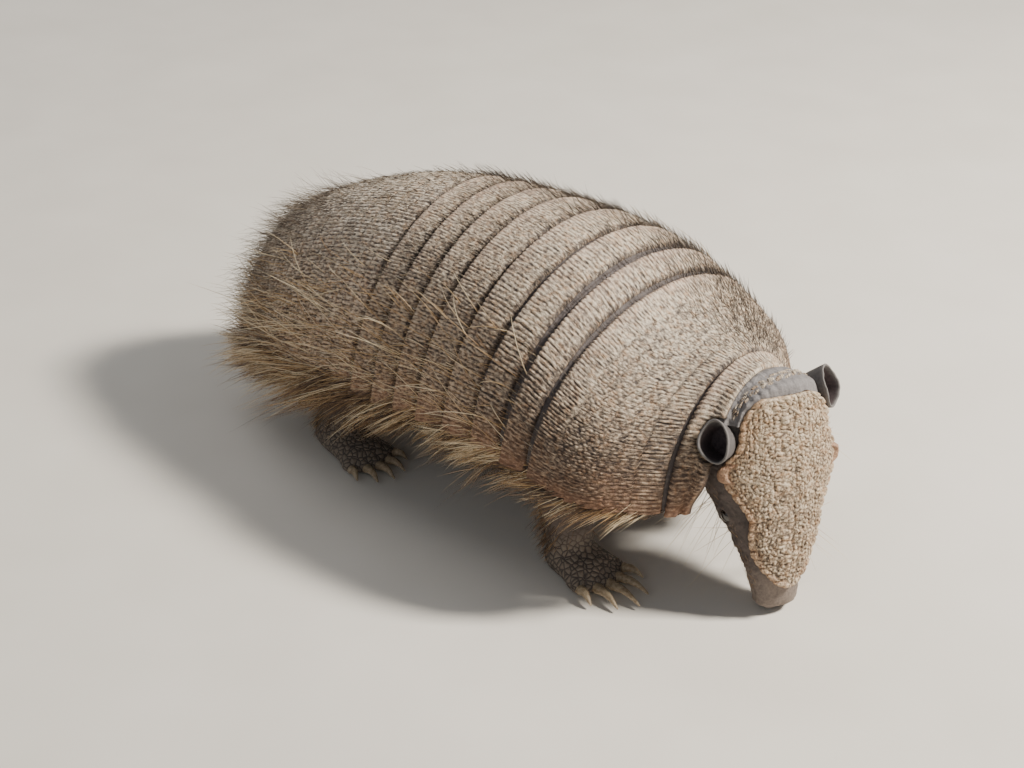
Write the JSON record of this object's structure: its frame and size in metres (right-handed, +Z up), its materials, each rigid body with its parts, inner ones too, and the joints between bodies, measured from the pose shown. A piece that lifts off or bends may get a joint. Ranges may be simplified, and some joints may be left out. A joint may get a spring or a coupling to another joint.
{
  "type": "armadillo",
  "caption": "Hairy armadillo at life size, standing with its nose lowered to the ground: banded bony shell, head shield, bristly flanks, clawed feet and a short tail.",
  "frame": {"origin": "centre of the box's underside, on the floor that the feet stand on", "axes": "+X the way the body faces, +Y the animal's left, +Z up"},
  "size_m": [0.3741, 0.1641, 0.1367],
  "materials": {
    "back_scutes": "dusty grey-beige horn scutes over bone, matt, grooved",
    "rump_scutes": "brown-grey horn scutes over bone, matt, grooved",
    "head_scutes": "sandy-beige polygon scutes, matt",
    "tail_scutes": "small scutes in rings, brown-grey, matt",
    "skin": "wrinkled dark grey-brown skin, matt",
    "ear_skin": "fine pebbled dark grey skin with a paler rim, matt",
    "eyeball": "moist, near-black, glossy",
    "claw_horn": "pale brown horn, satin",
    "bristle": "golden-straw and brown bristles, slight sheen"
  },
  "bodies": {
    "root": {"band_1": "back_scutes", "band_2": "back_scutes", "band_3": "back_scutes", "band_4": "back_scutes", "band_5": "back_scutes", "band_6": "back_scutes", "band_7": "back_scutes", "claw_front_left_1": "claw_horn", "claw_front_left_2": "claw_horn", "claw_front_left_3": "claw_horn", "claw_front_left_4": "claw_horn", "claw_front_left_5": "claw_horn", "claw_front_right_1": "claw_horn", "claw_front_right_2": "claw_horn", "claw_front_right_3": "claw_horn", "claw_front_right_4": "claw_horn", "claw_front_right_5": "claw_horn", "claw_hind_left_1": "claw_horn", "claw_hind_left_2": "claw_horn", "claw_hind_left_3": "claw_horn", "claw_hind_left_4": "claw_horn", "claw_hind_left_5": "claw_horn", "claw_hind_right_1": "claw_horn", "claw_hind_right_2": "claw_horn", "claw_hind_right_3": "claw_horn", "claw_hind_right_4": "claw_horn", "claw_hind_right_5": "claw_horn", "ear_left": "ear_skin", "ear_right": "ear_skin", "eye_left": "eyeball", "eye_right": "eyeball", "head": "skin", "head_shield": "head_scutes", "leg_front_left": "skin", "leg_front_right": "skin", "leg_hind_left": "skin", "leg_hind_right": "skin", "neck": "skin", "nuchal_band": "back_scutes", "pelvic_shield": "rump_scutes", "shoulder_shield": "back_scutes", "tail_base": "tail_scutes", "tail_middle": "tail_scutes", "tail_tip": "tail_scutes", "trunk": "skin"}
  },
  "joints": []
}
